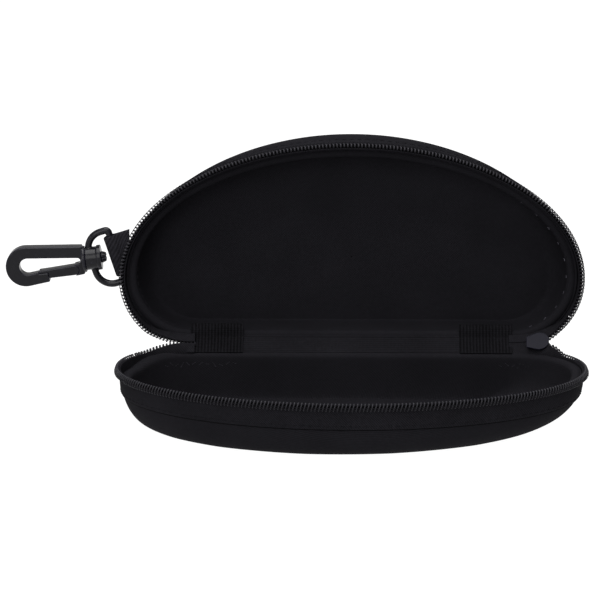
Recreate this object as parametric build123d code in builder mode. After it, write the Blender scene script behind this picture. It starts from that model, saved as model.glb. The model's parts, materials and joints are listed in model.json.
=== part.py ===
"""Zipped hard eyeglasses case, standing open on its lower half, with a swivel hook on a webbing loop.

Millimetres, +Z up. The origin is the middle of the flat patch that the lower half rests on.
+X is the right-hand end, -Y the front. Both halves are drawn in the same local frame: its origin
is the middle of the fabric hinge, local x runs along the hinge, local y runs forward to the front
of the D-shaped rim, and local z is the depth of that half, away from the other half.
"""
from build123d import *
from math import cos, radians, sin
import os

# Overall size
case_width = 165.0            # across the zipper at its widest
case_depth = 73.0             # hinge to the front of the zipper
half_depth = 22.5             # zipper line to the outside of one half's floor
opening = 91.0                # angle between the two rims as the case stands open

# Layers, counted inward from the outer face of the zipper tape
coil_thickness = 1.7
tape_thickness = 0.55
cover_face = 0.6              # outside of the moulded fabric cover
foam_face = 1.2               # outside of the foam
lining_face = 3.9             # outside of the lining
cavity_face = 4.4             # inside of the lining
lining_thickness = cavity_face - lining_face

# Heights, counted as depth from the zipper line
rim_depth = 4.2               # where the padded wall starts
tape_start = 0.9
tape_end = 10.0
coil_start = 0.6
coil_end = 2.8
hinge_gap = 0.15              # half the gap between the two leaves of the fabric hinge

# The D-shaped outline at the outer face of the tape
half_width = case_width / 2 - coil_thickness
outline_depth = case_depth - coil_thickness
corner_radius = 24.0
corner_x = half_width - corner_radius

# How each half's walls run to its floor: how far the ends and the front lean in, how far the
# front swells before it does, and how far the floor sits towards the right-hand end
wall_start = 5.0              # depth where the walls leave the upright
base_walls = {"ends": 17.5, "front": 14.0, "front_swell": 0.0, "shift": -6.5}
lid_walls = {"ends": 11.0, "front": 9.0, "front_swell": 4.0, "shift": 0.0}
rear_lean = 2.5
rear_spread = 0.8             # how much further each inner layer's rear wall leans, per mm of inset
floor_corner = 15.0           # rear corner radius of the floor
wall_angles = (0, 12, 24, 36, 48, 60, 72, 82, 90)

# Fabric hinge and the ribbed tabs over the zipper's ends
strip_half_length = 38.2
tab_inner = 38.5
tab_outer = 57.0
tab_thickness = 0.6
tab_lip = 5.2                 # how far the tab climbs over the lid's rim
left_start = 25.0             # corner angles where the free zipper starts
right_start = 41.0
closed_end_gap = 0.3          # between the tab and the closed end of the chain
closed_end_length = 4.3

# Zipper slider, parked on the right rear corner
slider_angle = 23.5           # its place on the corner
slider_lean = 10.0            # its own direction; it hangs straighter than the corner it rides round
slider_length = 8.0
slider_nose = 6.8
slider_tail = 4.1
tail_length = 1.0
inner_plate = (-2.2, -1.3)    # along the outward normal
outer_plate = (2.0, 3.0)
flange_inner = 3.1
flange_outer = 3.5
flange_bottom = 0.9
flange_length = 3.4
flange_middle = 0.9
post_half_thickness = 0.3
post_length = 2.6
post_setback = 1.9            # middle of the post behind the tip of the nose
crown_half_width = 0.9
crown_half_length = 2.6
crown_leg = 0.8
crown_top = 5.0
crown_shoulder = 1.2          # rise of the crown's arch
crown_window_top = 4.35
pin_height = 3.75
pin_radius = 0.45
pull_length = 19.0
pull_thickness = 1.0
pull_head = 0.6               # metal above the pin
pull_shank = 8.0
pull_neck = 3.2
pull_window = 3.4
pull_window_side = 0.2        # play between the window and the crown
pull_grip = 4.4
pull_grip_length = 12.0
pull_hole = (5.0, 1.8)
pull_hole_middle = 4.0        # from the free end

# Webbing loop, ring and swivel hook on the left-hand end of the lid
bar_x = -84.1
bar_height = 30.1             # above the hinge, in the lid's frame
bar_depth = 12.4
ring_tilt = 18.0
hook_drop = 7.0
wire_radius = 1.25
ring_height = 19.5
ring_depth = 9.0
ring_round = 6.0
ring_seat = 0.3               # the boss's middle sits this far inside the ring's curve
ring_corner = 1.2
webbing_width = 15.0
webbing_thickness = 1.1
webbing_slack = 0.1
webbing_tail = 12.0
boss_offset = 1.6             # the boss sits above the middle of the ring's curve
boss_radius = 4.1
boss_half_length = 2.05
boss_lip = 1.4
boss_lip_radius = 4.5
stem_radius = 1.5
stem_clearance = 0.15
head_radius = 2.0
head_tip_radius = 1.5
head_length = 1.5
head_slot = 0.5
collar_radius = 4.6
collar_start = 2.3
collar_length = 0.9
slot_depth = 2.3
hook_half_thickness = 2.3
hook_root_height = 9.8
hook_bend = (23.8, 7.0)       # centre along the hook and radius of the outer bend
eye_root = (5.1, 1.2)         # the same for both ends of the opening inside the hook
eye_bend = (23.1, 3.1)
groove_margin = 0.95
groove_depth = 0.7
groove_root = (7.1, 3.8)      # centre along the hook and radius of the groove's first end
gate_pivot = (6.6, -3.3)
gate_root_radius = 1.6
gate_clearance = 0.35
gate_travel = (0, 5, 10, 15)  # degrees inward that the hook leaves room for
gate_end = 15.8
gate_top = -2.15
gate_bottom = -4.95
gate_lip_end = 19.3
gate_lip_drop = 0.1
gate_lip_thickness = 0.8
gate_half_thickness = 2.1


def half_frame(angle):
    """Local frame of a half, or of the slider between them, at this angle above the lower rim."""
    swing = radians(angle)
    return Plane(
        origin=(0, hinge_y, hinge_z),
        x_dir=(-1, 0, 0),
        z_dir=(0, sin(swing), cos(swing)),
    )


def moved(frame, along_x, along_y, along_z, x_dir, z_dir):
    """A frame placed inside another one, with its directions given in the other's terms."""
    origin = frame.from_local_coords(Vector(along_x, along_y, along_z))
    turn = frame.from_local_coords(Vector(0, 0, 0))
    return Plane(
        origin=origin,
        x_dir=frame.from_local_coords(Vector(*x_dir)) - turn,
        z_dir=frame.from_local_coords(Vector(*z_dir)) - turn,
    )


def d_outline(width, rear, front, corner, centre):
    """D-shaped wire: straight rear, round rear corners and a half ellipse at the front."""
    side = rear + corner
    Line((centre - width + corner, rear), (centre + width - corner, rear))
    CenterArc((centre + width - corner, side), corner, -90, 90)
    EllipticalCenterArc((centre, side), width, front - side, arc_size=180)
    CenterArc((centre - width + corner, side), corner, 180, 90)


def rim_sketch(frame, inset):
    """Face of the whole rim outline, moved in by this much."""
    with BuildSketch(frame) as rim:
        with BuildLine():
            d_outline(half_width - inset, inset, outline_depth - inset, corner_radius - inset, 0)
        make_face()
    return rim.sketch


def wall_sketch(frame, inset, walls, way, angle):
    """Section of one half where its wall has turned this far towards the floor.

    way is 1 where local x runs to the right, -1 where it runs to the left.
    """
    lean = 1 - cos(radians(angle))
    late = lean ** 1.5
    swell = walls["front_swell"] * sin(radians(2 * angle))
    rear_end = rear_lean + rear_spread * (inset - cover_face)
    depth = wall_start + (half_depth - inset - wall_start) * sin(radians(angle))
    with BuildSketch(frame.offset(depth)) as section:
        with BuildLine():
            d_outline(
                half_width - inset - (walls["ends"] - inset) * lean,
                inset + (rear_end - inset) * late,
                outline_depth - inset - (walls["front"] - inset) * late + swell,
                (corner_radius - inset) * (1 - lean) + floor_corner * lean,
                way * walls["shift"] * lean,
            )
        make_face()
    return section.sketch


def half_volume(frame, inset, start, walls, way):
    """The closed volume of one half inside this inset, from its rim to its floor."""
    with BuildPart() as volume:
        extrude(rim_sketch(frame.offset(start), inset), amount=wall_start - start)
        loft([wall_sketch(frame, inset, walls, way, angle) for angle in wall_angles])
    return volume.part


def rear_wedge(frame, left, right):
    """The space behind these angles round the two rear corners, where the zipper is covered."""
    reach = 3 * corner_radius
    with BuildPart() as wedge:
        with BuildSketch(frame):
            with BuildLine():
                Polyline(
                    (-corner_x, corner_radius),
                    (-corner_x - reach * sin(radians(left)), corner_radius - reach * cos(radians(left))),
                    (corner_x + reach * sin(radians(right)), corner_radius - reach * cos(radians(right))),
                    (corner_x, corner_radius),
                    close=True,
                )
            make_face()
        extrude(amount=half_depth)
    return wedge.part


def save(block, label):
    """Name a finished piece and write it."""
    block.part.label = label
    export_step(block.part, f"parts/{label}.step")


os.makedirs("parts", exist_ok=True)
hinge_y = (rear_lean + outline_depth - base_walls["front"]) / 2
hinge_z = half_depth - cover_face
base_frame = Plane(origin=(0, hinge_y, hinge_z), x_dir=(1, 0, 0), z_dir=(0, 0, -1))
lid_frame = half_frame(opening)
middle_frame = half_frame(opening / 2)

# Each half: its frame, its walls, where its free zipper starts, which way local x points
halves = {
    "base": (base_frame, base_walls, left_start, right_start, 1),
    "lid": (lid_frame, lid_walls, right_start, left_start, -1),
}

for half, (frame, walls, first, last, way) in halves.items():
    wall_top = rim_depth + lining_thickness

    with BuildPart() as outer_cover:
        add(half_volume(frame, cover_face, wall_top, walls, way))
        add(half_volume(frame, foam_face, wall_top, walls, way), mode=Mode.SUBTRACT)
    save(outer_cover, f"{half}_outer_cover")

    with BuildPart() as foam_shell:
        add(half_volume(frame, foam_face, wall_top, walls, way))
        add(half_volume(frame, lining_face, wall_top, walls, way), mode=Mode.SUBTRACT)
    save(foam_shell, f"{half}_foam_shell")

    # The lining turns over the top of the foam as a flat rim
    with BuildPart() as lining:
        add(half_volume(frame, lining_face, wall_top, walls, way))
        extrude(rim_sketch(frame.offset(rim_depth), cover_face), amount=lining_thickness)
        add(half_volume(frame, cavity_face, rim_depth, walls, way), mode=Mode.SUBTRACT)
    save(lining, f"{half}_lining")

    with BuildPart() as zipper_tape:
        add(half_volume(frame, 0, tape_start, walls, way))
        add(half_volume(frame, tape_thickness, tape_start, walls, way), mode=Mode.SUBTRACT)
        split(bisect_by=frame.offset(tape_end), keep=Keep.BOTTOM)
        add(rear_wedge(frame, first, last), mode=Mode.SUBTRACT)
    save(zipper_tape, f"{half}_zipper_tape")

    # The coil's turns fill this bead on the outside of the tape's free edge
    coil_frame = frame.offset(coil_start)
    with BuildPart() as zipper_coil:
        extrude(rim_sketch(coil_frame, -coil_thickness), amount=coil_end - coil_start)
        extrude(rim_sketch(coil_frame, -0.05), amount=coil_end - coil_start, mode=Mode.SUBTRACT)
        add(rear_wedge(frame, first, last), mode=Mode.SUBTRACT)
    save(zipper_coil, f"{half}_zipper_coil")

    # Half of the woven strip that hinges the two halves, sewn to the back of the wall
    with BuildPart() as hinge_leaf:
        with BuildSketch(frame.offset(hinge_gap)):
            with Locations((0, tape_thickness / 2)):
                Rectangle(2 * strip_half_length, tape_thickness)
        extrude(amount=tape_end - hinge_gap)
    save(hinge_leaf, f"hinge_strip_{'lower' if half == 'base' else 'upper'}")

    # Ribbed tabs over the ends of the zipper: a leg across the hinge, and on the lid a lip over its rim
    for side, sign in (("left", -way), ("right", way)):
        middle = sign * (tab_inner + tab_outer) / 2
        leg_end = rim_depth - 0.05
        lip = tab_lip if half == "lid" else tab_thickness
        with BuildPart() as end_tab:
            with BuildSketch(frame.offset(hinge_gap)):
                with Locations((middle, cover_face + tab_thickness / 2)):
                    Rectangle(tab_outer - tab_inner, tab_thickness)
            extrude(amount=leg_end - hinge_gap)
            with BuildSketch(frame.offset(leg_end - tab_thickness)):
                with Locations((middle, cover_face + lip / 2)):
                    Rectangle(tab_outer - tab_inner, lip)
            extrude(amount=tab_thickness)
        save(end_tab, f"{side}_tab_{'lower' if half == 'base' else 'upper'}")

# Frame of the slider: x along its travel, y across it towards the lid, z outward
park = radians(slider_angle)
turn = radians(slider_lean)
slider_frame = moved(
    middle_frame,
    -(corner_x + corner_radius * sin(park)),
    corner_radius * (1 - cos(park)),
    0,
    (-cos(turn), sin(turn), 0),
    (-sin(turn), -cos(turn), 0),
)

# The short end of the chain that stays closed between the right-hand tab and the slider
with BuildPart() as closed_end:
    with BuildSketch(middle_frame.offset(-coil_end)):
        middle = tab_outer + closed_end_gap + closed_end_length / 2
        with Locations((-middle, (tape_thickness - coil_thickness) / 2)):
            Rectangle(closed_end_length, tape_thickness + coil_thickness)
    extrude(amount=2 * coil_end)
save(closed_end, "zipper_closed_end")


def slider_plate(low, high):
    """Slider plate: a round nose where the two coils part, and a narrow straight tail."""
    nose = slider_length / 2 - slider_nose / 2
    with BuildPart() as plate:
        with BuildSketch(slider_frame.offset(low)):
            with Locations((nose, 0)):
                Circle(slider_nose / 2)
            with Locations(((tail_length - slider_length) / 2, 0)):
                Rectangle(tail_length, slider_tail)
            make_hull()
        extrude(amount=high - low)
    return plate.part


with BuildPart() as slider_body:
    add(slider_plate(*inner_plate))
    add(slider_plate(*outer_plate))
    with BuildSketch(slider_frame.offset(inner_plate[1])):
        with Locations((slider_length / 2 - post_setback, 0)):
            Rectangle(post_length, 2 * post_half_thickness)
    extrude(amount=outer_plate[0] - inner_plate[1])
    # Flanges down both sides of the outer plate, outside the two coils
    with BuildSketch(slider_frame.offset(flange_bottom)):
        with Locations((flange_middle, 0)):
            Rectangle(flange_length, 2 * flange_outer)
            Rectangle(flange_length, 2 * flange_inner, mode=Mode.SUBTRACT)
    extrude(amount=outer_plate[1] - flange_bottom)
save(slider_body, "slider_body")

crown_frame = moved(slider_frame, 0, 0, 0, (1, 0, 0), (0, -1, 0))
with BuildPart() as slider_crown:
    with BuildSketch(crown_frame.offset(-crown_half_width)):
        with BuildLine():
            top = crown_top - crown_shoulder
            Polyline(
                (-crown_half_length, top),
                (-crown_half_length, outer_plate[1]),
                (crown_half_length, outer_plate[1]),
                (crown_half_length, top),
            )
            ThreePointArc((crown_half_length, top), (0, crown_top), (-crown_half_length, top))
        make_face()
        with Locations((0, (outer_plate[1] + crown_window_top) / 2)):
            Rectangle(
                2 * (crown_half_length - crown_leg),
                crown_window_top - outer_plate[1],
                mode=Mode.SUBTRACT,
            )
    extrude(amount=2 * crown_half_width)
save(slider_crown, "slider_crown")

# The pull hangs straight out from the hinge, thickness along z and its length along y
pull_frame = moved(slider_frame, 0, 0, pin_height, (0, 1, 0), (cos(turn), 0, sin(turn)))
with BuildPart() as pull_tab:
    with BuildSketch(pull_frame.offset(-pull_thickness / 2)):
        with Locations((0, pull_shank / 2 - pull_head)):
            Rectangle(pull_neck, pull_shank)
        with Locations((0, pull_length - pull_grip_length / 2)):
            SlotOverall(pull_grip_length, pull_grip, rotation=90)
        with Locations((0, pull_window / 2 - pull_head)):
            Rectangle(
                2 * (crown_half_width + pull_window_side),
                pull_window + 2 * pull_head,
                mode=Mode.SUBTRACT,
            )
        with Locations((0, pull_length - pull_hole_middle)):
            SlotOverall(*pull_hole, rotation=90, mode=Mode.SUBTRACT)
    extrude(amount=pull_thickness)
    with BuildSketch(moved(pull_frame, 0, 0, 0, (0, 1, 0), (1, 0, 0)).offset(-pull_neck / 2)):
        Circle(pin_radius)
    extrude(amount=pull_neck)
save(pull_tab, "pull_tab")

# Frame of the ring: x from its bar to its round side, y up the bar, z towards the lid's back
tilt = radians(ring_tilt)
ring_frame = moved(
    lid_frame, -bar_x, bar_height, bar_depth, (cos(tilt), -sin(tilt), 0), (0, 0, 1)
)
cant = radians(ring_tilt - hook_drop)
hook_frame = moved(
    ring_frame, ring_depth - ring_seat, boss_offset, 0, (cos(cant), sin(cant), 0), (0, 0, 1)
)


def across_hook(position):
    """Plane across the hook's swivel axis, this far along it from the middle of the boss."""
    return moved(hook_frame, position, 0, 0, (0, 1, 0), (1, 0, 0))


with BuildPart() as d_ring:
    with BuildLine(ring_frame):
        half = ring_height / 2
        FilletPolyline(
            (0, -half),
            (0, half),
            (ring_depth, half),
            (ring_depth, -half),
            radius=[ring_corner, ring_corner, ring_round, ring_round],
            close=True,
        )
    with BuildSketch(moved(ring_frame, 0, 0, 0, (1, 0, 0), (0, 1, 0))):
        Circle(wire_radius)
    sweep()
    with BuildSketch(across_hook(-boss_half_length)):
        Circle(boss_radius)
    extrude(amount=2 * boss_half_length)
    with BuildSketch(across_hook(-boss_half_length - boss_lip)):
        Circle(boss_lip_radius)
    extrude(amount=boss_lip)
    with BuildSketch(across_hook(-ring_depth)):
        Circle(stem_radius + stem_clearance)
    extrude(amount=2 * ring_depth, mode=Mode.SUBTRACT)
save(d_ring, "d_ring")

# Webbing folded round the ring's bar, both ends running back under the lid's tape
strap_frame = moved(ring_frame, 0, -webbing_width / 2, 0, (1, 0, 0), (0, 1, 0))
fold_inner = wire_radius + webbing_slack
with BuildPart() as strap_loop:
    with BuildSketch(strap_frame):
        Circle(fold_inner + webbing_thickness)
        with Locations((-webbing_tail / 2, 0)):
            Rectangle(webbing_tail, 2 * webbing_thickness)
        Circle(fold_inner, mode=Mode.SUBTRACT)
    extrude(amount=webbing_width)
    add(half_volume(lid_frame, cover_face - 0.05, rim_depth, lid_walls, -1), mode=Mode.SUBTRACT)
save(strap_loop, "strap_loop")


def hull_of(*circles):
    """Sketch in the hook's plane: the outline pulled tight round circles on the swivel axis."""
    with BuildSketch(hook_frame) as loop:
        for place, radius in circles:
            with Locations((place, 0)):
                Circle(radius)
        make_hull()
    return loop.sketch


def gate_outline(grow, swing):
    """Side view of the spring gate about its pivot, swung inward and grown by a clearance."""
    turned = radians(swing)
    pivot_frame = moved(hook_frame, *gate_pivot, 0, (cos(turned), sin(turned), 0), (0, 0, 1))
    end = gate_end - gate_pivot[0]
    lip_end = gate_lip_end - gate_pivot[0]
    top = gate_top - gate_pivot[1]
    bottom = gate_bottom - gate_pivot[1]
    with BuildSketch(pivot_frame) as gate:
        with BuildLine():
            Polyline(
                (0, gate_root_radius),
                (end, top),
                (lip_end, top - gate_lip_drop),
                (lip_end, top - gate_lip_thickness),
                (end, top - gate_lip_thickness),
                (end, bottom),
                (0, -gate_root_radius),
                close=True,
            )
        make_face()
        Circle(gate_root_radius)
        if grow:
            offset(amount=grow)
    return gate.sketch


def groove_sketch():
    """Panel let into the hook's upper arm and bend, clear of its edges."""
    near, far = eye_root
    with BuildSketch(hook_frame) as groove:
        add(hull_of(groove_root, (hook_bend[0], hook_bend[1] - groove_margin)))
        add(
            hull_of((near, far + groove_margin), (eye_bend[0], eye_bend[1] + groove_margin)),
            mode=Mode.SUBTRACT,
        )
        # The lower arm carries the gate and has no panel
        with Locations((hook_bend[0] / 2, -hook_bend[1])):
            Rectangle(2 * hook_bend[0], 2 * hook_bend[1], mode=Mode.SUBTRACT)
    return groove.sketch


with BuildPart() as hook_body:
    # Loop of the hook, with its nose left open for the gate
    with BuildSketch(hook_frame):
        with Locations((collar_start + collar_length, 0)):
            Rectangle(collar_length / 4, hook_root_height)
        with Locations((hook_bend[0], 0)):
            Circle(hook_bend[1])
        make_hull()
    extrude(amount=hook_half_thickness, both=True)
    extrude(hull_of(eye_root, eye_bend), amount=hook_half_thickness, both=True, mode=Mode.SUBTRACT)
    panel = groove_sketch()
    for face in (-1, 1):
        extrude(
            panel.moved(Location(hook_frame.z_dir * face * (hook_half_thickness - groove_depth))),
            amount=2 * groove_depth,
            dir=hook_frame.z_dir * face,
            mode=Mode.SUBTRACT,
        )
    # Room for the gate and its swing, and for the finger that presses it
    for swing in gate_travel:
        extrude(
            gate_outline(gate_clearance, swing),
            amount=hook_half_thickness,
            both=True,
            mode=Mode.SUBTRACT,
        )
    with BuildSketch(hook_frame):
        with Locations(((gate_pivot[0] + gate_end) / 2, gate_bottom - gate_root_radius)):
            Rectangle(
                gate_end - gate_pivot[0] + gate_clearance,
                2 * gate_root_radius + gate_clearance,
            )
    extrude(amount=hook_half_thickness, both=True, mode=Mode.SUBTRACT)
    # Collar, swivel stem and its split head, snapped through the boss
    with BuildSketch(across_hook(collar_start)):
        Circle(collar_radius)
    extrude(amount=collar_length)
    head_start = -boss_half_length - boss_lip - stem_clearance
    with BuildSketch(across_hook(head_start)):
        Circle(stem_radius)
    extrude(amount=collar_start - head_start)
    with BuildSketch(across_hook(head_start)) as head_base:
        Circle(head_radius)
    with BuildSketch(across_hook(head_start - head_length)) as head_tip:
        Circle(head_tip_radius)
    loft()
    for slot_size in ((head_slot, 4 * head_radius), (4 * head_radius, head_slot)):
        with BuildSketch(across_hook(head_start - head_length)):
            Rectangle(*slot_size)
        extrude(amount=slot_depth, mode=Mode.SUBTRACT)
save(hook_body, "hook_body")

with BuildPart() as hook_gate:
    extrude(gate_outline(0, 0), amount=gate_half_thickness, both=True)
save(hook_gate, "hook_gate")
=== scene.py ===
"""Looks of the zipped eyeglasses case, standing open on its lower half.

Sizes are millimetres. Most pieces are drawn in the frame of one half: x runs along the hinge, y
forward from the hinge to the front of the D-shaped rim, and depth away from the other half. place()
puts such points into the row frame for a half opened by some angle. Places along the zipper are
distances along the rim, from the start of the right rear corner, round the front, to the left one.
"""
import json
from math import asin, cos, pi, radians, sin

import bpy
import numpy as np
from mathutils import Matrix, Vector


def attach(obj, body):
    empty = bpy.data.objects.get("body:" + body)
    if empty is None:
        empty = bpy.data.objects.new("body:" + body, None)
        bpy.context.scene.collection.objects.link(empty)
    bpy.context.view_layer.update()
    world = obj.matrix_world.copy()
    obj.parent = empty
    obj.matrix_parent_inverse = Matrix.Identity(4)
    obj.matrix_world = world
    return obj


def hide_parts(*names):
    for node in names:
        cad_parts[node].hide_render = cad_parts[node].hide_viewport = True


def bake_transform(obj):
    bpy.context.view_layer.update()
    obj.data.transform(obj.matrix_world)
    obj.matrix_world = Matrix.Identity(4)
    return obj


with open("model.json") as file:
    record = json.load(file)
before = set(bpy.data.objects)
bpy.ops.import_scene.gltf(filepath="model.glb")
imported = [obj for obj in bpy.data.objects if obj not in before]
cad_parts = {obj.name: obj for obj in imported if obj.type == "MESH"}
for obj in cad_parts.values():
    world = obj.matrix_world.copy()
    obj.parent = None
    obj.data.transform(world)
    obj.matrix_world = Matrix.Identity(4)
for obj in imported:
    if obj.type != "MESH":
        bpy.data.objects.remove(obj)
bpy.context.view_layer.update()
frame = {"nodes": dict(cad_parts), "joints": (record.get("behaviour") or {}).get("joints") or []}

MM = 0.001
TURN = 2 * pi
JOINTS = {joint["name"]: joint for joint in frame["joints"]}
HINGE = np.array(JOINTS["lid_hinge"]["pos_m"]) / MM
OPENING = radians(-JOINTS["lid_hinge"]["range_deg"][0])

# The shape of each half, as in the CAD model
half_width = 80.8
outline_depth = 71.3
half_depth = 22.5
corner_radius = 24.0
wall_start = 5.0
rear_lean = 2.5
rear_spread = 0.8
floor_corner = 15.0
cover_face = 0.6
cavity_face = 4.4
rim_depth = 4.2
tape_start = 1.4               # the coil stands a little above the tape's edge
tape_end = 10.0
tab_inner = 38.5
tab_outer = 57.0
strip_half_length = 39.6
slider_angle = radians(23.5)

# Each half: its opening angle, the sign of its depth, and how its walls run to its floor
BASE_WALLS = {"ends": 17.5, "front": 14.0, "front_swell": 0.0, "shift": -6.5}
LID_WALLS = {"ends": 11.0, "front": 9.0, "front_swell": 4.0, "shift": 0.0}
HALVES = {"base": (0.0, -1, BASE_WALLS), "lid": (OPENING, 1, LID_WALLS)}

# Points round an outline: half the rear, a corner, the front, a corner, half the rear
REAR_POINTS = 40
CORNER_POINTS = 28
FRONT_POINTS = 150


# ---------------------------------------------------------------- shapes of a half

def smooth(value, low, high):
    """0 below low, 1 above high, with a soft step between."""
    share = np.clip((np.asarray(value, float) - low) / (high - low), 0, 1)
    return share * share * (3 - 2 * share)


def outline(inset, angle, walls):
    """Points round a half where its wall, this far in from the tape, has turned by this angle."""
    lean = 1 - cos(angle)
    late = lean ** 1.5
    swell = walls["front_swell"] * sin(2 * angle)
    width = half_width - inset - (walls["ends"] - inset) * lean
    rear_end = rear_lean + rear_spread * (inset - cover_face)
    rear = inset + (rear_end - inset) * late
    front = outline_depth - inset - (walls["front"] - inset) * late + swell
    corner = (corner_radius - inset) * (1 - lean) + floor_corner * lean
    centre = walls["shift"] * lean
    side = rear + corner
    straight = np.linspace(0, width - corner, REAR_POINTS, endpoint=False)
    bend = np.linspace(-pi / 2, 0, CORNER_POINTS, endpoint=False)
    front_turn = np.linspace(0, pi, FRONT_POINTS, endpoint=False)
    back_bend = np.linspace(pi, 3 * pi / 2, CORNER_POINTS, endpoint=False)
    x = np.concatenate([
        straight,
        width - corner + corner * np.cos(bend),
        width * np.cos(front_turn),
        corner - width + corner * np.cos(back_bend),
        straight - (width - corner),
    ])
    y = np.concatenate([
        np.full(REAR_POINTS, rear),
        side + corner * np.sin(bend),
        side + (front - side) * np.sin(front_turn),
        side + corner * np.sin(back_bend),
        np.full(REAR_POINTS, rear),
    ])
    return np.stack([x + centre, y], axis=1)


def wall_angle(inset, depth):
    """How far a wall has turned by this depth."""
    reach = half_depth - inset - wall_start
    return asin(min(1, max(0, (depth - wall_start) / reach)))


def wall_depth(inset, angle):
    return wall_start + (half_depth - inset - wall_start) * sin(angle)


def level(inset, depth, walls, angle=None):
    """Closed ring of points of one half at this inset and depth."""
    angle = wall_angle(inset, depth) if angle is None else angle
    flat = outline(inset, angle, walls)
    return np.column_stack([flat, np.full(len(flat), depth)])


def lengths(points):
    """Distance along a row of points."""
    return np.concatenate([[0], np.cumsum(np.linalg.norm(np.diff(points, axis=0), axis=1))])


RIM = outline(0, 0, BASE_WALLS)
ALONG = lengths(RIM)
ALONG = ALONG - ALONG[REAR_POINTS]
RIM_LENGTH = ALONG[-REAR_POINTS]


def along_rim(places, inset, depth, walls):
    """Points of a half's wall at these places along the rim; inset and depth may vary with them."""
    places = np.asarray(places, float)
    ring = level(0, float(np.mean(depth)), walls)[:, :2]
    ahead = np.roll(ring, -1, axis=0) - np.roll(ring, 1, axis=0)
    ahead /= np.linalg.norm(ahead, axis=1)[:, None]
    out = np.stack([ahead[:, 1], -ahead[:, 0]], axis=1)
    moved = [
        np.interp(places, ALONG, ring[:, k]) - inset * np.interp(places, ALONG, out[:, k])
        for k in (0, 1)
    ]
    return np.stack([*moved, np.broadcast_to(np.asarray(depth, float), places.shape)], axis=-1)


def place(points, angle, way):
    """Points of a half's frame in the row frame, in metres. angle may vary from point to point."""
    x, y, depth = points[..., 0], points[..., 1], points[..., 2] * way
    along = HINGE[1] - y * np.cos(angle) + depth * np.sin(angle)
    height = HINGE[2] + y * np.sin(angle) + depth * np.cos(angle)
    return np.stack([HINGE[0] + x, along, height], axis=-1) * MM


# ---------------------------------------------------------------- meshes

def build(name, points, uv, material, around=True, flip=False, caps=False, crease=50):
    """Grid mesh from rows of points.

    around joins each row's end to its start; caps closes the two ends."""
    rows, count = points.shape[:2]
    index = np.arange(rows * count).reshape(rows, count)
    if around:
        index = np.concatenate([index, index[:, :1]], axis=1)
    quads = np.stack([index[:-1, :-1], index[:-1, 1:], index[1:, 1:], index[1:, :-1]], axis=-1)
    corners = np.stack([uv[:-1, :-1], uv[:-1, 1:], uv[1:, 1:], uv[1:, :-1]], axis=-2)
    faces = quads.reshape(-1, 4)
    corners = corners.reshape(-1, 4, 2)
    if flip:
        faces, corners = faces[:, ::-1], corners[:, ::-1]
    polygons = faces.tolist()
    spread = corners.reshape(-1, 2)
    if caps:
        first, last = list(range(count)), list(range((rows - 1) * count, rows * count))
        ends = [first, last[::-1]] if flip else [first[::-1], last]
        polygons += ends
        spread = np.concatenate([spread, np.zeros((2 * count, 2))])
    mesh = bpy.data.meshes.new(name)
    mesh.from_pydata(points.reshape(-1, 3).tolist(), [], polygons)
    mesh.uv_layers.new(name="cloth").data.foreach_set("uv", spread.astype(np.float32).ravel())
    mesh.shade_smooth()
    mesh.set_sharp_from_angle(angle=radians(crease))
    mesh.materials.append(material)
    thing = bpy.data.objects.new(name, mesh)
    bpy.context.scene.collection.objects.link(thing)
    return thing


def joined(name, things):
    """One object from several."""
    with bpy.context.temp_override(
        active_object=things[0], object=things[0], selected_objects=things, selected_editable_objects=things
    ):
        bpy.ops.object.join()
    things[0].name = name
    return things[0]


def length_uv(points, across):
    """Cloth coordinates of a sweep: distance along it, and distance round its section."""
    middle = points.mean(axis=1)
    run = lengths(middle)
    return np.stack(np.broadcast_arrays(run[:, None], across[None, :]), axis=-1)


def tube(path, radius, sides=7):
    """Rows of points round a path; the radius may vary along it."""
    path = np.asarray(path, float)
    ahead = np.gradient(path, axis=0)
    ahead /= np.linalg.norm(ahead, axis=1)[:, None]
    side = np.cross(ahead[0], [0.3, 0.5, 0.8])
    sides_of = []
    for direction in ahead:
        side = side - direction * (side @ direction)
        side /= np.linalg.norm(side)
        sides_of.append(side)
    first = np.array(sides_of)
    second = np.cross(ahead, first)
    turn = np.arange(sides) * TURN / sides
    radius = np.broadcast_to(np.asarray(radius, float), len(path))[:, None, None]
    ring = first[:, None] * np.cos(turn)[None, :, None] + second[:, None] * np.sin(turn)[None, :, None]
    return path[:, None] + ring * radius


def tube_piece(name, path, radius, material, sides=7):
    """Tube along a path given in the row frame in metres, with its radius in millimetres."""
    rows = tube(path, np.asarray(radius) * MM, sides)
    round_it = np.linspace(0, TURN * float(np.mean(radius)), sides + 1)
    return build(name, rows, length_uv(rows / MM, round_it), material, caps=True)


def section_uv(section, rows):
    """Cloth coordinates of a band whose closed section is given as inset and depth."""
    loop = np.concatenate([section, section[:1]])
    across = np.concatenate([[0], np.cumsum(np.linalg.norm(np.diff(loop, axis=0), axis=1))])
    return np.stack(np.broadcast_arrays(rows[:, None], across[None, :]), axis=-1)


# ---------------------------------------------------------------- materials

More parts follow.
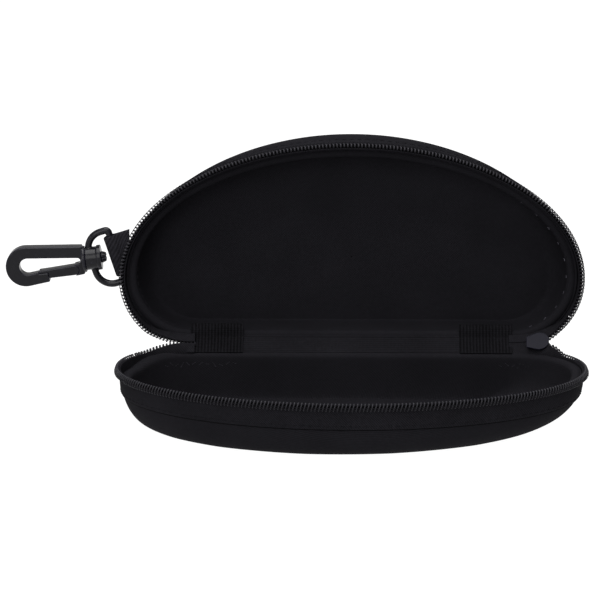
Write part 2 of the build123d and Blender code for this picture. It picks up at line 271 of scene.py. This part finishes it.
class Finish:
    """A procedural material that is being put together."""

    def __init__(self, name, roughness, specular):
        self.material = bpy.data.materials.new(name)
        self.material.use_nodes = True
        self.tree = self.material.node_tree
        self.shader = self.tree.nodes["Principled BSDF"]
        self.shader.inputs["Roughness"].default_value = roughness
        self.shader.inputs["Specular IOR Level"].default_value = specular

    def add(self, kind, inputs, **settings):
        node = self.tree.nodes.new(kind)
        for key, value in settings.items():
            setattr(node, key, value)
        for key, value in inputs.items():
            if isinstance(value, bpy.types.NodeSocket):
                self.tree.links.new(value, node.inputs[key])
            else:
                node.inputs[key].default_value = value
        return node

    def math(self, operation, first, second=0.0):
        return self.add("ShaderNodeMath", {0: first, 1: second}, operation=operation).outputs[0]

    def cloth(self):
        """Cloth coordinates along and across, in millimetres."""
        uv = self.add("ShaderNodeUVMap", {}, uv_map="cloth").outputs[0]
        split = self.add("ShaderNodeSeparateXYZ", {0: uv})
        return split.outputs[0], split.outputs[1]

    def wave(self, value, pitch):
        return self.math("SINE", self.math("MULTIPLY", value, TURN / pitch))

    def noise(self, scale, detail=3.0):
        """Cloudy value from 0 to 1 in the piece's own space; scale is features per millimetre."""
        where = self.add("ShaderNodeTexCoord", {}).outputs["Object"]
        inputs = {"Vector": where, "Scale": scale / MM, "Detail": detail}
        return self.add("ShaderNodeTexNoise", inputs).outputs["Fac"]

    def ramp(self, value, stops):
        """Colour from a value, with a colour at each stop."""
        node = self.add("ShaderNodeValToRGB", {0: value})
        elements = node.color_ramp.elements
        while len(elements) < len(stops):
            elements.new(0.5)
        for element, (position, grey) in zip(elements, stops):
            element.position = position
            element.color = (*grey, 1)
        return node.outputs[0]

    def colour(self, value, stops):
        self.tree.links.new(self.ramp(value, stops), self.shader.inputs["Base Color"])

    def bump(self, height, distance):
        """Relief of this many millimetres."""
        inputs = {"Strength": 1.0, "Distance": distance * MM, "Height": height}
        node = self.add("ShaderNodeBump", inputs)
        self.tree.links.new(node.outputs[0], self.shader.inputs["Normal"])


def grey(level, tint=(1.0, 1.0, 1.0)):
    return tuple(level * t for t in tint)


COOL = (0.96, 0.92, 1.12)       # black dyes and plastics all lean a little to blue


def woven(name, pattern, dark, light, relief, roughness=0.9, specular=0.03, fuzz=0.9):
    """Cloth: its pattern of yarns sets relief, and painted shade that lightens the yarns' crests and darkens
    their dips, over a slow variation and fine fuzz.
    """
    finish = Finish(name, roughness, specular)
    yarns = pattern(finish, *finish.cloth())
    fibres = finish.noise(fuzz, 4.0)
    patches = finish.noise(0.06, 2.0)
    height = finish.math("ADD", finish.math("MULTIPLY", yarns, 0.5), finish.math("MULTIPLY", fibres, 0.7))
    # Colour from the relief is painted shade: crests of yarn and fuzz lighter, dips darker; the slow patches
    # are the cloth's own uneven tone
    painted_yarn_shade_and_tone = finish.math("ADD", finish.math("MULTIPLY", height, 0.6), finish.math("MULTIPLY", patches, 0.4))
    finish.colour(painted_yarn_shade_and_tone, [(0.1, grey(dark, COOL)), (0.85, grey(light, COOL))])
    finish.bump(height, relief)
    return finish.material


def plain_weave(pitch):
    def pattern(finish, along, across):
        return finish.math("MULTIPLY", finish.wave(along, pitch), finish.wave(across, pitch))
    return pattern


def twill(pitch, fine):
    """Diagonal ribs, broken by the weft."""
    def pattern(finish, along, across):
        rib = finish.wave(finish.math("ADD", along, across), pitch)
        weft = finish.wave(finish.math("SUBTRACT", across, along), fine)
        return finish.math("ADD", finish.math("MULTIPLY", rib, 0.6), finish.math("MULTIPLY", weft, 0.4))
    return pattern


def ribs(pitch, fine, lengthwise):
    """Ribs across or along the cloth with fine threads over them."""
    def pattern(finish, along, across):
        first, second = (across, along) if lengthwise else (along, across)
        rib = finish.wave(first, pitch)
        threads = finish.wave(second, fine)
        return finish.math("ADD", finish.math("MULTIPLY", rib, 0.65), finish.math("MULTIPLY", threads, 0.35))
    return pattern


def moulded(name, dark, light, roughness, specular, grain, relief, tint=COOL):
    """Plastic or enamelled metal: fine grain, with painted highlights on its sharp edges and painted shade
    in its hollows.
    """
    finish = Finish(name, roughness, specular)
    edges = finish.add("ShaderNodeNewGeometry", {}).outputs["Pointiness"]
    mottle = finish.noise(grain, 3.0)
    painted_edge_light_and_grain = finish.math("ADD", edges, finish.math("MULTIPLY", mottle, 0.06))
    # Pointiness paints the light: hollows take painted shade at half the dark tone, sharp edges a painted
    # highlight; the mottle is the piece's own grain
    finish.colour(painted_edge_light_and_grain, [(0.47, grey(dark / 2, tint)), (0.535, grey(dark, tint)), (0.60, grey(light, tint))])
    finish.bump(mottle, relief)
    return finish.material


cover_cloth = woven("cover_cloth", ribs(0.7, 0.35, True), 0.0055, 0.0115, 0.05)
lining_cloth = woven("lining_cloth", plain_weave(0.9), 0.0058, 0.0120, 0.05)
tape_cloth = woven("tape_cloth", twill(0.85, 0.7), 0.0035, 0.0145, 0.09)
strip_cloth = woven("strip_cloth", ribs(1.0, 0.5, True), 0.0038, 0.0125, 0.10)
tab_cloth = woven("tab_cloth", ribs(1.15, 0.8, False), 0.0012, 0.0090, 0.12)
web_cloth = woven("web_cloth", twill(1.7, 0.55), 0.0045, 0.020, 0.16)
thread_fibre = woven("thread_fibre", twill(0.35, 0.3), 0.004, 0.013, 0.03)
# Near-black cloth: painted shadow along the seams, and the colour of the coil's filler cord, painted shade
# between its turns
painted_shade_cloth = woven("painted_shade_cloth", plain_weave(0.5), 0.0010, 0.0020, 0.02)
# Lighter copies of the dark sewing thread for tacks that catch the light: dull_fibre a little lit, and the
# pale copy for painted glints on the lid's right-hand tacks
dull_fibre = woven("dull_fibre", twill(0.35, 0.3), 0.010, 0.030, 0.03, specular=0.05)
glint_fibre = woven("glint_fibre", twill(0.35, 0.3), 0.05, 0.11, 0.03, specular=0.05)
nylon = moulded("nylon", 0.002, 0.016, 0.38, 0.13, 1.2, 0.01)
enamel = moulded("enamel", 0.008, 0.015, 0.42, 0.05, 0.7, 0.012, (0.92, 0.90, 1.45))
acetal = moulded("acetal", 0.004, 0.020, 0.25, 0.17, 0.5, 0.012, (0.95, 0.92, 1.35))


# ---------------------------------------------------------------- cover and lining

def unroll(rows):
    """Cloth coordinates of a bowl: its floor lies flat and its wall is laid out round it."""
    steps = np.linalg.norm(np.diff(rows, axis=0), axis=2)
    up = np.concatenate([np.cumsum(steps[::-1], axis=0)[::-1], np.zeros((1, rows.shape[1]))])
    floor = rows[-1, :, :2]
    ahead = np.roll(floor, -1, axis=0) - np.roll(floor, 1, axis=0)
    ahead /= np.linalg.norm(ahead, axis=1)[:, None]
    out = np.stack([ahead[:, 1], -ahead[:, 0]], axis=1)
    flat = floor[None] + out[None] * up[..., None]
    return np.concatenate([flat, flat[:, :1]], axis=1)


def bowl(name, rows, half, material, inside):
    """Skin of one half from its rim to its floor, closed across the floor by shrinking rings."""
    angle, way, _ = HALVES[half]
    shrink = np.cos(np.linspace(0, pi / 2, 14))[1:-1] ** 0.8
    centre = rows[-1].mean(axis=0)
    floor = [centre + (rows[-1] - centre) * [s, s, 1] for s in shrink]
    every = np.array([*rows, *floor, centre + (rows[-1] - centre) * [0.004, 0.004, 1]])
    uv = unroll(np.array(rows))
    floor_uv = every[len(rows):, :, :2]
    uv = np.concatenate([uv, np.concatenate([floor_uv, floor_uv[:, :1]], axis=1)])
    # Moulded cloth over foam is never quite true
    waves = np.sin(every[..., 0] / 9.3 + 1.7) * np.sin(every[..., 1] / 7.1)
    soft = 0.10 * waves * smooth(every[..., 2], 8, 16)
    every[..., 2] += -soft if inside else -np.abs(soft)
    return build(name, place(every, angle, way), uv, material, flip=(way > 0) == inside, caps=False)


def raised_rear(ring, half, rise=2.6):
    """The lower half's padded edge stands higher along the hinge and round the right-hand end."""
    if half == "base":
        right = smooth(ring[:, 0], 40.0, 62.0)
        along = smooth((ring[:, 1] - 4.0 - 16.0 * right) / (11.0 + 14.0 * right), 0, 1)
        ring[:, 2] -= rise * (1 - along) * (1 - smooth(ring[:, 2], 6.0, 12.0))
    return ring


def sunk_front(ring, half, drop=1.7):
    """The upper half's padded edge lies deeper behind its coil at the front than along the hinge."""
    if half == "lid":
        ring[:, 2] += drop * smooth(ring[:, 1], 12.0, 40.0) * (1 - smooth(ring[:, 2], 5.0, 13.0))
    return ring


def make_cover(half):
    walls = HALVES[half][2]
    rows = [level(1.5, rim_depth + 0.7, walls), level(0.8, rim_depth + 0.5, walls)]
    rows += [level(cover_face, depth, walls) for depth in (4.9, wall_start)]
    for degrees in range(4, 91, 3):
        angle = radians(degrees)
        rows.append(level(cover_face, wall_depth(cover_face, angle), walls, angle))
    rows = [raised_rear(ring, half) for ring in rows]
    cover = bowl(f"{half}_cover", rows, half, cover_cloth, inside=False)
    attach(cover, half)
    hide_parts(f"{half}_outer_cover")


def make_lining(half):
    """Padded edge rolled over the foam, and the cavity's wall and floor."""
    walls = HALVES[half][2]
    middle = (cover_face + cavity_face) / 2 + 0.05
    roll = (cavity_face - cover_face) / 2 - 0.05
    rows = []
    for degrees in range(-10, 181, 12):
        turn = radians(degrees)
        ring = level(middle - roll * cos(turn), wall_start, walls)
        ring[:, 2] = rim_depth + roll * (1 - sin(turn))
        rows.append(ring)
    for degrees in range(7, 91, 3):
        angle = radians(degrees)
        rows.append(level(cavity_face, wall_depth(cavity_face, angle), walls, angle))
    rows = [sunk_front(raised_rear(ring, half), half) for ring in rows]
    lining = bowl(f"{half}_padded_lining", rows, half, lining_cloth, inside=True)
    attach(lining, half)
    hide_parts(f"{half}_lining", f"{half}_foam_shell")


# ---------------------------------------------------------------- zipper

coil_pitch = 1.24
coil_wire = 0.25              # radius
coil_half_width = 0.58
coil_inset = -0.87
coil_depth = 2.0
coil_rise = 1.25              # half the height of a turn
core_inset = -0.5             # the coil's filler cord and the sewing hide this much of it
core_radius = 0.55
slider_place = corner_radius * slider_angle
right_free = 24.0             # where the coil and tape lie true to the rim again
left_free = RIM_LENGTH - 22.0
right_end = slider_place - 1.0
coil_lead = 2.8               # the coil shows this far out of the slider
chain_start = -0.8            # the tapes run on behind the slider to the tab
left_end = RIM_LENGTH + 1.5
TAPE_SECTION = np.array(
    [(-0.02, tape_start), (0.0, 2.0), (0.02, 3.0), (0.02, 4.6), (0.0, 6.2), (0.0, 8.2), (0.0, 9.6)]
    + [(0.18, tape_end), (0.42, tape_end), (0.5, 9.6), (0.5, 7.0), (0.5, 4.6)]
    + [(0.48, 2.4), (0.38, tape_start)]
)


# The free stretch of coil at each end: where it meets the other half's, and where it lies true again
FREE_ENDS = {
    "right": (np.array([68.2, 2.9, 1.7]), np.array([75.0, 8.6, 1.7])),
    "left": (np.array([-58.6, 0.1, 1.7]), np.array([-73.9, 6.7, 1.7])),
}
LIFT = {"right": 0.3, "left": 1.9}  # how far the tapes' ends are tucked in front of the hinge
MEET = {"right": 0.0, "left": 1.1}  # how much nearer the other half each coil is drawn


def bent(points, half, side):
    """Points near an end of the zipper, drawn towards the plane midway between the two halves.

    The pull fades along the rim and towards the seam, where the tape is sewn to the wall."""
    angle, way, _ = HALVES[half]
    near, far = FREE_ENDS[side]
    run = (near - far)[:2]
    share = (points[..., :2] - far[:2]) @ run / (run @ run)
    drawn = smooth(share, 0, 1) * (1 - smooth(points[..., 2], 3.5, 9.0))
    tucked = points.copy()
    tucked[..., 1] += LIFT[side] * drawn
    tucked[..., 2] -= MEET[side] * drawn
    return place(tucked, angle - way * OPENING / 2 * drawn, way)


def blend_end(thing):
    """The free stretch at an end of the zipper, already bent between its half and the chain: its placement
    is baked into its mesh.
    """
    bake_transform(thing)


def coil_path(first, last, half):
    """The coil's wire: flattened turns round the tape's edge, in the half's frame."""
    walls = HALVES[half][2]
    turns = (last - first) / coil_pitch
    phase = np.linspace(0, TURN * turns, int(turns * 14))
    places = first + coil_pitch * phase / TURN + 0.12 * np.sin(2 * phase)
    inset = coil_inset - coil_half_width * np.cos(phase)
    depth = coil_depth + coil_rise * np.sin(phase)
    path = along_rim(places, inset, coil_depth, walls)
    path[:, 2] = depth
    return path, coil_wire + 0.07 * np.clip(-np.sin(phase), 0, 1) ** 3


def thread_path(first, last, depth, half, start=0.0):
    """Sewing thread that dips between the coil's turns."""
    places = np.arange(first, last, coil_pitch / 8)
    wave = np.cos(TURN * places / coil_pitch + start)
    path = along_rim(places, coil_inset - 0.86 - 0.09 * wave, coil_depth, HALVES[half][2])
    path[:, 2] = depth + 0.05 * np.sin(TURN * places / coil_pitch + start)
    return path


def put(path, half, side):
    angle, way, _ = HALVES[half]
    return bent(path, half, side) if side else place(path, angle, way)


def tape_band(name, first, last, half, side):
    walls = HALVES[half][2]
    places = np.arange(first, last + 0.4, 0.8)
    points = np.stack([along_rim(places, inset, depth, walls) for inset, depth in TAPE_SECTION], axis=1)
    uv = section_uv(TAPE_SECTION, places)
    return build(name, put(points, half, side), uv, tape_cloth, caps=True, flip=HALVES[half][1] < 0)


def make_zipper(half):
    """Tape, coil and its threads: the stretch true to the rim, and the free stretch at each end."""
    stretches = (
        ("", right_free, left_free),
        ("right", right_end, right_free),
        ("left", left_free, left_end),
    )
    for side, first, last in stretches:
        tail = f"_{side}" if side else ""
        tape_first = chain_start if side == "right" else first
        tape = tape_band(f"{half}_tape{tail}", tape_first, last, half, side)
        coil_first = first + coil_lead if side == "right" else first
        path, radius = coil_path(coil_first, last, half)
        coil = tube_piece(f"{half}_coil{tail}", put(path, half, side), radius, nylon, 8)
        threads = []
        for depth, start in ((2.0, 0.0), (2.75, pi)):
            sewn = put(thread_path(coil_first, last, depth, half, start), half, side)
            threads.append(tube_piece("thread", sewn, 0.1, thread_fibre, 5))
        # The filler cord is real; its near-black colour is painted shade between the coil's turns
        core = along_rim(np.arange(coil_first, last, 1.0), core_inset, coil_depth, HALVES[half][2])
        cord = tube_piece("core", put(core, half, side), core_radius, painted_shade_cloth)
        threads = joined(f"{half}_coil_thread{tail}", [*threads, cord])
        for piece in (tape, coil, threads):
            if side:
                blend_end(piece)
            else:
                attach(piece, half)
        if not side:
            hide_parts(f"{half}_zipper_tape")
            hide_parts(f"{half}_zipper_coil")


def make_closed_chain():
    """The two coils meshed, between the right-hand tab and the slider."""
    parts = []
    for way in (-1, 1):
        first, last = chain_start, slider_place - 3.4
        turns = (last - first) / coil_pitch
        phase = np.linspace(0, TURN * turns, int(turns * 16))
        places = first + coil_pitch * phase / TURN + (0.3 if way > 0 else 0)
        inset = coil_inset - coil_half_width * np.cos(phase)
        path = along_rim(places, inset, 0, BASE_WALLS)
        path[:, 2] = 0.75 - 0.72 * np.sin(phase)
        parts.append(tube_piece("turns", place(path, OPENING / 2, way), coil_wire, nylon, 8))
    chain = joined("closed_chain", parts)
    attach(chain, "chain_end")
    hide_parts("zipper_closed_end")
    rows = along_rim(np.arange(chain_start, slider_place - 2.2, 0.5), 0, 0, BASE_WALLS)
    section = [(-0.02, -3.2), (-0.02, 3.2), (0.4, 3.2), (0.4, -3.2)]
    points = np.stack([rows - [0, -inset, -depth] for inset, depth in section], axis=1)
    uv = section_uv(np.array(section), rows[:, 0])
    tape = build("closed_tape", place(points, OPENING / 2, 1), uv, tape_cloth, caps=True)
    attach(tape, "chain_end")


# ---------------------------------------------------------------- stitches

def stitch_row(
    name, places, length, inset, depth, half, material, radius=0.13, sink=0.22, jitter=0.0, seed=1
):
    """Stitches along the rim, each one a short thread that dives into the cloth at both ends."""
    dice = np.random.default_rng(seed)
    angle, way, walls = HALVES[half]
    parts = []
    for middle in places:
        share = np.linspace(-1, 1, 7)
        spread = middle + share * length / 2
        rise = sink * np.abs(share) ** 3
        slant = jitter * (dice.random() - 0.5)
        path = along_rim(spread, inset + rise, depth, walls)
        path[:, 2] = depth + slant * share + jitter * 0.4 * (dice.random() - 0.5)
        parts.append(tube_piece("stitch", place(path, angle, way), radius, material, 6))
    row = joined(name, parts)
    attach(row, half)
    return row


def make_stitches():
    seam_pitch = 2.7
    for half, (angle, way, walls) in HALVES.items():
        places = np.arange(right_free - 8, left_free + 10, seam_pitch)
        stitch_row(f"{half}_seam", places, 2.1, -0.05, 8.9, half, thread_fibre)
        # A near-black tube below the tape's edge is painted shadow, where the cover dips in to the seam
        path = along_rim(np.arange(right_free - 12, left_free + 12, 1.5), 0.42, tape_end + 0.12, walls)
        seam_shadow_tube = tube_piece(f"{half}_seam_shadow", place(path, angle, way), 0.22, painted_shade_cloth)
        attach(seam_shadow_tube, half)
    # The seam shows inside the lid as small tacks on the cavity's wall
    tack_pitch = 7.2
    places = np.arange(9.0, 84.0, tack_pitch)
    # These tacks are painted pale: glints of light on dark thread
    stitch_row("lid_tacks", places, 0.9, 4.33, 7.0, "lid", glint_fibre, 0.14, 0.15, 0.7, seed=4)
    places = np.arange(RIM_LENGTH - 40.0, RIM_LENGTH - 6.0, 3.1)
    stitch_row("lid_tacks_left", places, 1.4, 4.33, 7.6, "lid", dull_fibre, 0.14, 0.15, 0.7, seed=5)
    for side, first, last in (("right", -4.0, 12.0), ("left", RIM_LENGTH - 11.0, RIM_LENGTH + 17.0)):
        places = np.arange(first, last, 2.4)
        stitch_row(f"base_tacks_{side}", places, 1.3, 4.3, 5.6, "base", dull_fibre, 0.16, 0.15, 1.9, seed=7)


# ---------------------------------------------------------------- hinge cloth

def curve_through(points, step):
    """Smooth path through a few points, evenly spaced."""
    points = np.array(points, float)
    knots = lengths(points)
    dense = np.linspace(0, knots[-1], 200)
    slopes = np.gradient(points, knots, axis=0)
    column = np.clip(np.searchsorted(knots, dense, side="right") - 1, 0, len(knots) - 2)
    width = (knots[column + 1] - knots[column])[:, None]
    share = (dense[:, None] - knots[column][:, None]) / width
    a, b = points[column], points[column + 1]
    u, v = slopes[column] * width, slopes[column + 1] * width
    smooth_path = (
        a * (1 + 2 * share) * (1 - share) ** 2 + u * share * (1 - share) ** 2
        + b * share ** 2 * (3 - 2 * share) - v * share ** 2 * (1 - share)
    )
    run = lengths(smooth_path)
    even = np.linspace(0, run[-1], max(3, int(run[-1] / step)))
    return np.stack([np.interp(even, run, smooth_path[:, k]) for k in range(points.shape[1])], axis=1)


def hinge_path(base_points, lid_points):
    """Path across the hinge in the row frame's Y and Z, from (y, depth) pairs of each half."""
    def flat(points, half):
        angle, way, _ = HALVES[half]
        local = np.array([(0, y, depth) for y, depth in points], float)
        return place(local, angle, way)[:, 1:] / MM
    return np.concatenate([flat(base_points, "base"), flat(lid_points, "lid")])


def hinge_cloth(name, path, low, high, thickness, material, ripple=0.0, step=0.25):
    """Closed band of cloth that follows a path across the hinge, with its two cut edges rounded."""
    line = curve_through(path, step)
    ahead = np.gradient(line, axis=0)
    ahead /= np.linalg.norm(ahead, axis=1)[:, None]
    up = np.stack([ahead[:, 1], -ahead[:, 0]], axis=1)
    count = int((high - low) / 0.23)
    x = np.linspace(low, high, count)
    front = [(value, thickness / 2 + ripple * cos(TURN * value / 1.15)) for value in x]
    back = [(high, -thickness / 2), (low, -thickness / 2)]
    section = np.array([(low - 0.1, 0.0), *front, (high + 0.1, 0.0), *back])
    points = np.empty((len(line), len(section), 3))
    points[..., 0] = section[None, :, 0]
    points[..., 1:] = line[:, None] + up[:, None] * section[None, :, 1:2]
    across = np.append(section[:, 0], section[0, 0])
    uv = np.stack(np.broadcast_arrays(across[None, :], lengths(line)[:, None]), axis=-1)
    cloth = build(name, points * MM, uv, material, caps=True)
    return cloth


def blend_hinge(cloth):
    """The cloth across the hinge, drawn between the two halves: its placement is baked into its mesh."""
    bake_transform(cloth)


def make_hinge():
    """Woven strip on the outside, its facing on the inside, and the two ribbed tabs over them."""
    leaf = [(0.25, tape_end), (0.25, 5.0), (0.27, 1.2)]
    back = hinge_path(leaf, leaf[::-1])
    outside = hinge_cloth(
        "hinge_strip", back, -strip_half_length, strip_half_length, 0.45, strip_cloth
    )
    blend_hinge(outside)
    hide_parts("hinge_strip_lower", "hinge_strip_upper")
    front = hinge_path([(2.9, 1.6), (1.3, 0.85)], [(0.15, 0.55), (1.2, 2.3), (2.0, 3.5), (2.9, 4.0)])
    inside = hinge_cloth(
        "hinge_facing", front, -strip_half_length, strip_half_length, 0.35, strip_cloth
    )
    blend_hinge(inside)
    for side, low, high in (("left", -tab_outer, -tab_inner), ("right", tab_inner, tab_outer)):
        over = hinge_path(
            [(3.5, 1.65), (1.9, 0.8), (0.8, 0.3)],
            [(0.65, 0.8), (1.75, 2.4), (2.5, 3.35), (3.6, 3.75), (5.2, 4.4), (6.6, 5.8)],
        )
        tab = hinge_cloth(f"{side}_tab", over, low, high, 0.5, tab_cloth, ripple=0.11)
        blend_hinge(tab)
        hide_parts(f"{side}_tab_lower", f"{side}_tab_upper")


# ---------------------------------------------------------------- hard pieces

def rounded(node, body, name, voxel, passes, material, swell=0.0):
    """A CAD piece with its edges softened as moulding or tumbling leaves them."""
    source = frame["nodes"][node]
    thing = bpy.data.objects.new(name, source.data.copy())
    bpy.context.scene.collection.objects.link(thing)
    remesh = thing.modifiers.new("remesh", "REMESH")
    remesh.mode = "VOXEL"
    remesh.voxel_size = voxel * MM
    soften = thing.modifiers.new("soften", "SMOOTH")
    soften.factor = 0.5
    soften.iterations = passes
    fill = thing.modifiers.new("fill", "DISPLACE")
    fill.strength = swell * MM
    fill.mid_level = 0.0
    graph = bpy.context.evaluated_depsgraph_get()
    mesh = bpy.data.meshes.new_from_object(thing.evaluated_get(graph))
    thing.modifiers.clear()
    thing.data = mesh
    mesh.materials.clear()
    mesh.materials.append(material)
    mesh.shade_smooth()
    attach(thing, body)
    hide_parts(node)
    return thing


def make_hardware():
    rounded("slider_body", "slider", "slider", 0.11, 3, enamel)
    rounded("slider_crown", "slider", "crown", 0.08, 3, enamel)
    rounded("pull_tab", "pull", "puller", 0.11, 3, enamel)
    rounded("d_ring", "ring", "ring_piece", 0.14, 3, acetal)
    rounded("hook_body", "hook", "hook", 0.12, 16, acetal, 0.16)
    rounded("hook_gate", "gate", "gate_piece", 0.12, 10, acetal, 0.18)


def make_strap():
    """Webbing folded round the ring's bar."""
    joint = JOINTS["ring_swing"]
    origin, up = np.array(joint["pos_m"]) / MM, np.array(joint["axis"])
    depth = np.array(JOINTS["gate_flex"]["axis"])
    out = np.cross(up, depth)
    width, thickness, fold = 15.0, 1.05, 1.95
    tail = 8.0
    turn = np.linspace(-0.78 * pi, 0.78 * pi, 40)
    bend = np.stack([fold * np.cos(turn), fold * np.sin(turn)], axis=1)
    ends = np.array([(-tail, 0.58), (-5.0, 0.58), (-3.0, 0.75)])
    path = np.concatenate([ends * [1, -1], bend, ends[::-1]])
    line = curve_through(path, 0.4)
    ahead = np.gradient(line, axis=0)
    ahead /= np.linalg.norm(ahead, axis=1)[:, None]
    outward = np.stack([ahead[:, 1], -ahead[:, 0]], axis=1)
    lip = np.linspace(0, pi, 5)
    half, round_edge = width / 2 - thickness / 2, thickness / 2
    upper = np.stack([half + round_edge * np.sin(lip), round_edge * np.cos(lip)], axis=1)
    section = np.concatenate([upper, -upper])
    flat = line[:, None] + outward[:, None] * section[None, :, 1:2]
    points = (
        origin + flat[..., :1] * out + flat[..., 1:] * depth + section[None, :, :1] * up
    )
    points[..., 0] = np.minimum(points[..., 0], -79.4)
    across = np.append(section[:, 0], section[0, 0])
    uv = np.stack(np.broadcast_arrays(lengths(line)[:, None], across[None, :]), axis=-1)
    strap = build("strap", points * MM, uv, web_cloth, caps=True)
    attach(strap, "lid")
    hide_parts("strap_loop")


# ---------------------------------------------------------------- stage

def make_stage():
    """Pale floor, soft light from all round and above, and the camera."""
    size = 6.0
    corners = [(-size, -size, 0), (size, -size, 0), (size, size, 0), (-size, size, 0)]
    floor_mesh = bpy.data.meshes.new("floor")
    floor_mesh.from_pydata(corners, [], [(0, 1, 2, 3)])
    floor = bpy.data.objects.new("floor", floor_mesh)
    bpy.context.scene.collection.objects.link(floor)
    floor.location.z = -0.0002
    paint = Finish("floor_paint", 0.9, 0.1)
    paint.shader.inputs["Base Color"].default_value = (0.1, 0.1, 0.1, 1)
    paint.shader.inputs["Emission Color"].default_value = (1, 1, 1, 1)
    paint.shader.inputs["Emission Strength"].default_value = 1.0
    floor_mesh.materials.append(paint.material)

    world = bpy.data.worlds.new("studio")
    bpy.context.scene.world = world
    world.use_nodes = True
    world.node_tree.nodes["Background"].inputs["Color"].default_value = (1, 1, 1, 1)
    world.node_tree.nodes["Background"].inputs["Strength"].default_value = 0.40

    lamps = (
        ("top", (0.0, -0.1, 1.0), 0.9, 16.0),
        ("front", (-0.35, -1.1, 0.6), 0.8, 8.5),
        ("left", (-1.0, -0.4, 0.35), 0.4, 1.6),
    )
    for name, spot, width, power in lamps:
        light = bpy.data.lights.new(name, "AREA")
        light.size = width
        light.energy = power
        lamp = bpy.data.objects.new(name, light)
        lamp.location = spot
        lamp.rotation_euler = (Vector((0, 0, 0.03)) - Vector(spot)).to_track_quat("-Z", "Y").to_euler()
        bpy.context.scene.collection.objects.link(lamp)

    elevation = radians(15.1)
    distance = 1150.0
    lens = bpy.data.cameras.new("camera")
    lens.lens = 194.0
    lens.sensor_width = 36.0
    camera = bpy.data.objects.new("camera", lens)
    bpy.context.scene.collection.objects.link(camera)
    back = Vector((0, -cos(elevation), sin(elevation)))
    upward = Vector((0, sin(elevation), cos(elevation)))
    pivot = Vector(HINGE)
    aim = pivot + Vector((-18.3, 0, 0)) + upward * 16.3
    spot = pivot + back * distance
    camera.location = spot * MM
    camera.rotation_euler = (aim - spot).to_track_quat("-Z", "Y").to_euler()
    bpy.context.scene.camera = camera
    bpy.context.scene.view_settings.view_transform = "Standard"


for half_name in HALVES:
    make_cover(half_name)
    make_lining(half_name)
    make_zipper(half_name)
make_closed_chain()
make_stitches()
make_hinge()
make_hardware()
make_strap()
make_stage()
